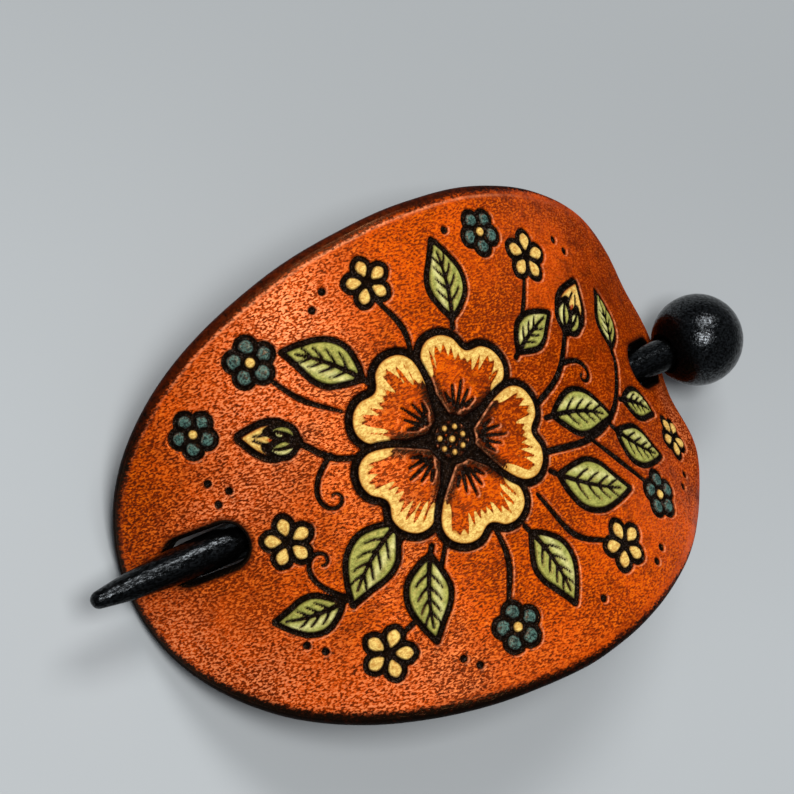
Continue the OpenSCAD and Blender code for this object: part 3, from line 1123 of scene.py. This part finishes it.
def make_hair_stick(look):
    nothing_selected()
    bpy.ops.mesh.primitive_grid_add(x_subdivisions=look.stick_along, y_subdivisions=look.stick_around, size=1)
    piece = named("pointed_hair_stick")
    co = coords(piece.data)

    # the grid rolled up into a round stick, its points closer together towards the tip
    length = STICK_OUTLINE[-1][0]
    t = co[:, 0] + 0.5
    x = length * (0.2 * t * t + 0.8 * t)
    x *= 1 - 0.5 * np.exp(-x / 2)
    radius = stick_radius(x, length)
    round_x, round_y = np.cos(co[:, 1] * tau), np.sin(co[:, 1] * tau)
    p = np.column_stack([x, round_x * radius, round_y * radius])
    knobs = wander(p / (2.2, 1, 1), 0.42, 5) * 0.5 + wander(p / (4, 1, 1), 1.1, 6) * 0.5
    radius -= look.knob_depth * (0.5 + 0.5 * knobs) * ease(0, 1.2, radius) * ease(length - 5, length - 9, x)
    p = np.column_stack([x - TIP_REACH, round_x * radius, round_y * radius])
    put_coords(piece.data, on_stick(p) * MM)

    bpy.ops.object.mode_set(mode="EDIT")
    merge_doubles(1e-7)
    bm = bmesh.from_edit_mesh(piece.data)
    select_edges(bm, [e for e in bm.edges if e.is_boundary])
    bpy.ops.mesh.fill()
    face_outwards()
    bpy.ops.object.shade_smooth()
    lower_side = (-sin(STICK_TURN), cos(STICK_TURN), 0), -1.5, -0.4
    wood = wood_finish("black_stick_wood", look, speck=0.34, along=2.2, shine=0.5, dull_side=lower_side)
    finished(piece, wood, "hair_stick", "stick")


def ball_outline(steps):
    """Half of the ball's outline: distance along the stick from its middle, and from the stick's axis."""
    floor = BORE_DEPTH - BALL_D / 2 + BALL_REACH - BALL_AT
    first = asin((BORE_R + 0.55) / BALL_R)
    mouth = -BALL_R * cos(first)
    outline = [(floor, 0.0), (floor, BORE_R), (mouth + 0.5, BORE_R), (mouth + 0.18, BORE_R + 0.08)]
    for k in range(steps):
        a = first + (pi - first) * k / steps
        outline.append((-BALL_R * cos(a), BALL_R * sin(a)))
    return outline + [(BALL_R, 0.0)]


def make_ball_end(look):
    piece = start_empty("turned_ball")
    bm = bmesh.from_edit_mesh(piece.data)
    line = [bm.verts.new((x, 0, y)) for x, y in ball_outline(look.ball_steps)]
    for a, b in zip(line, line[1:]):
        bm.edges.new((a, b))
    bmesh.update_edit_mesh(piece.data)
    bpy.ops.mesh.select_all(action="SELECT")
    bpy.ops.mesh.spin(steps=look.ball_steps * 2, angle=tau, center=(0, 0, 0), axis=(1, 0, 0))
    merge_doubles(1e-4)
    face_outwards()

    # shallow dents on the outside, and none in the bore
    co = coords(piece.data)
    outer = ease(BORE_R + 0.4, BORE_R + 1.6, np.hypot(*co.T[1:])) + (co[:, 0] > 0)
    outer = np.clip(outer, 0, 1) * (np.linalg.norm(co, axis=1) > BALL_R - 0.3)
    dents = wander(co, 2.4, 7) * 0.6 + wander(co, 0.8, 8) * 0.4
    shrink = 1 - look.ball_dents * (0.5 + 0.5 * dents) / BALL_R * outer
    put_coords(piece.data, on_stick(co * shrink[:, None] + (BALL_AT, 0, 0)) * MM)
    bpy.ops.object.shade_smooth_by_angle(angle=radians(50))
    centre = CENTRE_X + BALL_AT * STICK_RUN
    neck_side = (1, 0, 0), centre - 0.8 * BALL_R, centre - 0.5 * BALL_R
    wood = wood_finish("black_ball_wood", look, speck=0.4, along=1.0, shine=0.65, dull_side=neck_side)
    finished(piece, wood, "hair_stick", "ball_end")


# The stage

# The camera's place and directions, fitted to the photograph
CAMERA_AT = Vector((-0.18205, 0.02875, 0.37964))
CAMERA_RIGHT = Vector((0.8111, -0.4093, 0.4179))
CAMERA_UP = Vector((0.3864, 0.9113, 0.1425))
CAMERA_LENS = 127.4585
SOFTBOX_AT = Vector((-0.16, 0.04, 0.94))
WINDOW_AT = Vector((0.25, 0.56, 0.8))
LAMP_COLOUR = (1, 0.985, 0.97)
# How far the floor lies below the barrette, and the painted shade that darkens it with distance: the
# direction, from where to where, and how light its far end and its clouds are against the rest
FLOOR_DROP = 0.00002
FLOOR_AWAY, FLOOR_FADE = (0.6, 0.8, 0), (-0.03, 0.08)
FLOOR_FAR, FLOOR_CLOUD = 0.77, 0.94


def put_in_scene(name, data):
    holder = bpy.data.objects.new(name, data)
    bpy.context.collection.objects.link(holder)
    return holder


def add_camera():
    right = CAMERA_RIGHT.normalized()
    up = (CAMERA_UP - CAMERA_UP.dot(right) * right).normalized()
    turn = Matrix((right, up, right.cross(up))).transposed()
    camera = bpy.data.cameras.new("camera")
    camera.lens, camera.sensor_width, camera.sensor_fit = CAMERA_LENS, 36, "HORIZONTAL"
    camera.clip_start, camera.clip_end = 0.02, 20
    holder = put_in_scene("camera", camera)
    holder.matrix_world = Matrix.Translation(CAMERA_AT) @ turn.to_4x4()
    bpy.context.scene.camera = holder


def add_floor(look):
    nothing_selected()
    bpy.ops.mesh.primitive_grid_add(x_subdivisions=2, y_subdivisions=2, size=look.floor_size,
                                    location=(0, 0, -FLOOR_DROP))
    floor = named("floor")
    floor.data.transform(floor.matrix_world)
    floor.matrix_world = Matrix.Identity(4)
    f = Finish("pale_paper")
    paper, cloud, far = (tuple(c * share for c in look.floor_colour) for share in (1, FLOOR_CLOUD, FLOOR_FAR))
    # Painted shade: the floor darkens towards its far side
    shade = f.layers(paper, (f.fade(f.noise(60, 2, 0.5), 0.35, 0.65, 0, 0.25), cloud),
                     (f.fade(f.towards(FLOOR_AWAY), *FLOOR_FADE), far))
    floor.data.materials.append(f.surface(Base_Color=shade, Roughness=0.85))


def add_lamp(name, at, width, height, power):
    lamp = bpy.data.lights.new(name, "AREA")
    lamp.shape = "RECTANGLE"
    lamp.size, lamp.size_y, lamp.energy, lamp.color = width, height, power, LAMP_COLOUR
    holder = put_in_scene(name, lamp)
    holder.location = at
    holder.rotation_euler = (-at).to_track_quat("-Z", "Y").to_euler()


def set_room_light(look):
    world = bpy.data.worlds.new("studio")
    world.use_nodes = True
    back = world.node_tree.nodes["Background"]
    back.inputs["Color"].default_value = (*look.room_colour, 1)
    back.inputs["Strength"].default_value = look.room_light
    bpy.context.scene.world = world
    bpy.context.scene.view_settings.view_transform = "Standard"


def set_up_stage(look):
    add_camera()
    add_floor(look)
    add_lamp("softbox", SOFTBOX_AT, look.softbox_size, look.softbox_size, look.softbox_power)
    add_lamp("window", WINDOW_AT, look.window_width, look.window_height, look.window_power)
    set_room_light(look)


# The add-on

def shown_colour(rgb):
    """A colour given by its red, green and blue parts from 0 to 255, as the eye sees them."""
    return tuple(((c / 255 + 0.055) / 1.055) ** 2.4 if c > 10 else c / 255 / 12.92 for c in rgb)


def colour_setting(name, description, rgb):
    return bpy.props.FloatVectorProperty(name=name, description=description, subtype="COLOR", size=3, min=0,
                                         max=1, default=shown_colour(rgb))


def mm_setting(name, description, default, least, most):
    return bpy.props.FloatProperty(name=name, description=description + ", in mm", default=default, min=least,
                                   max=most)


def count_setting(name, description, default, least):
    return bpy.props.IntProperty(name=name, description=description, default=default, min=least)


def length_setting(name, description, default):
    return bpy.props.FloatProperty(name=name, description=description, default=default, unit="LENGTH")


def light_setting(name, description, default):
    return bpy.props.FloatProperty(name=name, description=description, default=default, min=0)


class BARRETTE_PG_leather(bpy.types.PropertyGroup):
    """Mesh fineness and dye colours of the leather."""
    cell: mm_setting("Grid cell", "Side of one cell of the outer face", 0.29, 0.2, 2)
    flesh_cell: mm_setting("Flesh cell", "Side of one cell of the flesh side", 1.1, 0.4, 3)
    rim_points: count_setting("Rim points", "Points round the oval", 800, 120)
    slot_points: count_setting("Slot points", "Points round each slot", 116, 24)
    leather_colour: colour_setting("Leather", "Dyed grain side", (203, 73, 3))
    deep_colour: colour_setting("Deep dye", "Where the dye took darker", (135, 42, 1))
    light_colour: colour_setting("Light dye", "Where the dye took paler", (226, 102, 8))
    pore_colour: colour_setting("Pores", "Dye that settled in the grain", (70, 17, 1))
    # The painted highlight on the grain's tops, along the rim's crease and on the cuts' lips
    painted_highlight_colour: colour_setting("Polished", "Tops of the grain where wear polished them", (252, 156, 106))
    scuff_colour: colour_setting("Scuffed cuts", "Cuts whose black dye is rubbed grey", (84, 72, 66))
    edge_colour: colour_setting("Edge", "Burnished edge and cuts", (6, 4, 3))
    bleed_colour: colour_setting("Bleed", "Brown that bleeds from the black", (58, 14, 3))
    flesh_colour: colour_setting("Flesh side", "Fibres of the flesh side", (148, 92, 58))
    flesh_dark_colour: colour_setting("Flesh side, dark", "Between the fibres", (104, 60, 36))


class BARRETTE_PG_paints(bpy.types.PropertyGroup):
    """Depth of the tooling and the paints on it."""
    cut_depth: mm_setting("Cut depth", "Depth of the knife cuts", 0.42, 0.1, 1)
    gold_colour: colour_setting("Gold", "Cream gold paint", (238, 206, 116))
    gold_thin_colour: colour_setting("Thin gold", "Gold where the leather shows through", (172, 108, 30))
    leaf_colour: colour_setting("Leaf", "Leaf green paint", (172, 172, 88))
    # Also the painted shade towards the leaves' edges
    leaf_dark_colour: colour_setting("Dark leaf", "Leaf green where it is thin", (98, 104, 42))
    # The painted highlight stroke on the leaves
    leaf_pale_colour: colour_setting("Pale leaf", "Light stroke on the leaves", (220, 216, 146))
    teal_colour: colour_setting("Teal", "Blue-green paint", (77, 113, 104))
    teal_dark_colour: colour_setting("Dark teal", "Blue-green paint in the hollows", (20, 43, 42))


class BARRETTE_PG_wood(bpy.types.PropertyGroup):
    """Mesh fineness, grain and colour of the stick and its ball."""
    stick_around: count_setting("Round", "Faces round the stick", 80, 16)
    stick_along: count_setting("Along", "Faces along the stick", 330, 40)
    knob_depth: mm_setting("Knobs", "Depth of the knobbly grain", 0.07, 0, 0.3)
    ball_steps: count_setting("Ball steps", "Faces from pole to pole", 72, 16)
    ball_dents: mm_setting("Dents", "Depth of the ball's dents", 0.08, 0, 0.3)
    wood_colour: colour_setting("Wood", "Black stain", (2, 2, 2))
    wood_light_colour: colour_setting("Worn wood", "Grain that shows through", (14, 14, 14))
    wood_gloss: bpy.props.FloatProperty(name="Roughness", description="Roughness of the polish", default=0.07,
                                        min=0, max=1, subtype="FACTOR")


class BARRETTE_PG_stage(bpy.types.PropertyGroup):
    """Floor and lights."""
    floor_size: length_setting("Floor", "Side of the floor", 8)
    floor_colour: colour_setting("Floor colour", "Pale paper", (171, 176, 179))
    softbox_size: length_setting("Softbox size", "Side of the softbox", 0.34)
    softbox_power: light_setting("Softbox", "Light from above, in watts", 7.2)
    window_width: length_setting("Window width", "Width of the window", 0.52)
    window_height: length_setting("Window height", "Height of the window", 0.26)
    window_power: light_setting("Window", "Light from the far side, in watts", 4.8)
    room_colour: colour_setting("Room", "Light from all round", (214, 222, 230))
    room_light: light_setting("Room light", "Strength of the light from all round", 0.26)


class BARRETTE_OT_leather_plate(bpy.types.Operator):
    """Add the arched leather oval with its slots and tooling"""
    bl_idname = "barrette.leather_plate"
    bl_label = "Leather plate"

    def execute(self, context):
        make_leather_plate(context.scene.barrette_leather, context.scene.barrette_paints)
        return {"FINISHED"}


class BARRETTE_OT_hair_stick(bpy.types.Operator):
    """Add the pointed stick"""
    bl_idname = "barrette.hair_stick"
    bl_label = "Hair stick"

    def execute(self, context):
        make_hair_stick(context.scene.barrette_wood)
        return {"FINISHED"}


class BARRETTE_OT_ball_end(bpy.types.Operator):
    """Add the ball on the end of the stick"""
    bl_idname = "barrette.ball_end"
    bl_label = "Ball end"

    def execute(self, context):
        make_ball_end(context.scene.barrette_wood)
        return {"FINISHED"}


class BARRETTE_OT_stage(bpy.types.Operator):
    """Add the floor, the lights and the camera"""
    bl_idname = "barrette.stage"
    bl_label = "Stage"

    def execute(self, context):
        set_up_stage(context.scene.barrette_stage)
        return {"FINISHED"}


class BARRETTE_PT_sidebar(bpy.types.Panel):
    """The barrette's pieces and settings"""
    bl_idname = "BARRETTE_PT_sidebar"
    bl_label = "Barrette"
    bl_space_type = "VIEW_3D"
    bl_region_type = "UI"
    bl_category = "Barrette"

    def draw(self, context):
        for operator, settings in PIECES:
            box = self.layout.box()
            box.operator(operator.bl_idname)
            for name in settings:
                group = getattr(context.scene, name)
                for prop in group.bl_rna.properties:
                    if prop.identifier not in ("rna_type", "name"):
                        box.prop(group, prop.identifier)


PIECES = (
    (BARRETTE_OT_stage, ("barrette_stage",)),
    (BARRETTE_OT_leather_plate, ("barrette_leather", "barrette_paints")),
    (BARRETTE_OT_hair_stick, ("barrette_wood",)),
    (BARRETTE_OT_ball_end, ()),
)
GROUPS = {"barrette_leather": BARRETTE_PG_leather, "barrette_paints": BARRETTE_PG_paints,
          "barrette_wood": BARRETTE_PG_wood, "barrette_stage": BARRETTE_PG_stage}


def register():
    for cls in (*GROUPS.values(), *(row[0] for row in PIECES), BARRETTE_PT_sidebar):
        bpy.utils.register_class(cls)
    for name, cls in GROUPS.items():
        setattr(bpy.types.Scene, name, bpy.props.PointerProperty(type=cls))


def unregister():
    for name in GROUPS:
        delattr(bpy.types.Scene, name)
    for cls in (BARRETTE_PT_sidebar, *(row[0] for row in reversed(PIECES)), *reversed(GROUPS.values())):
        bpy.utils.unregister_class(cls)


def main():
    register()
    bpy.ops.barrette.stage()
    bpy.ops.barrette.leather_plate()
    bpy.ops.barrette.hair_stick()
    bpy.ops.barrette.ball_end()


if __name__ == "__main__":
    main()
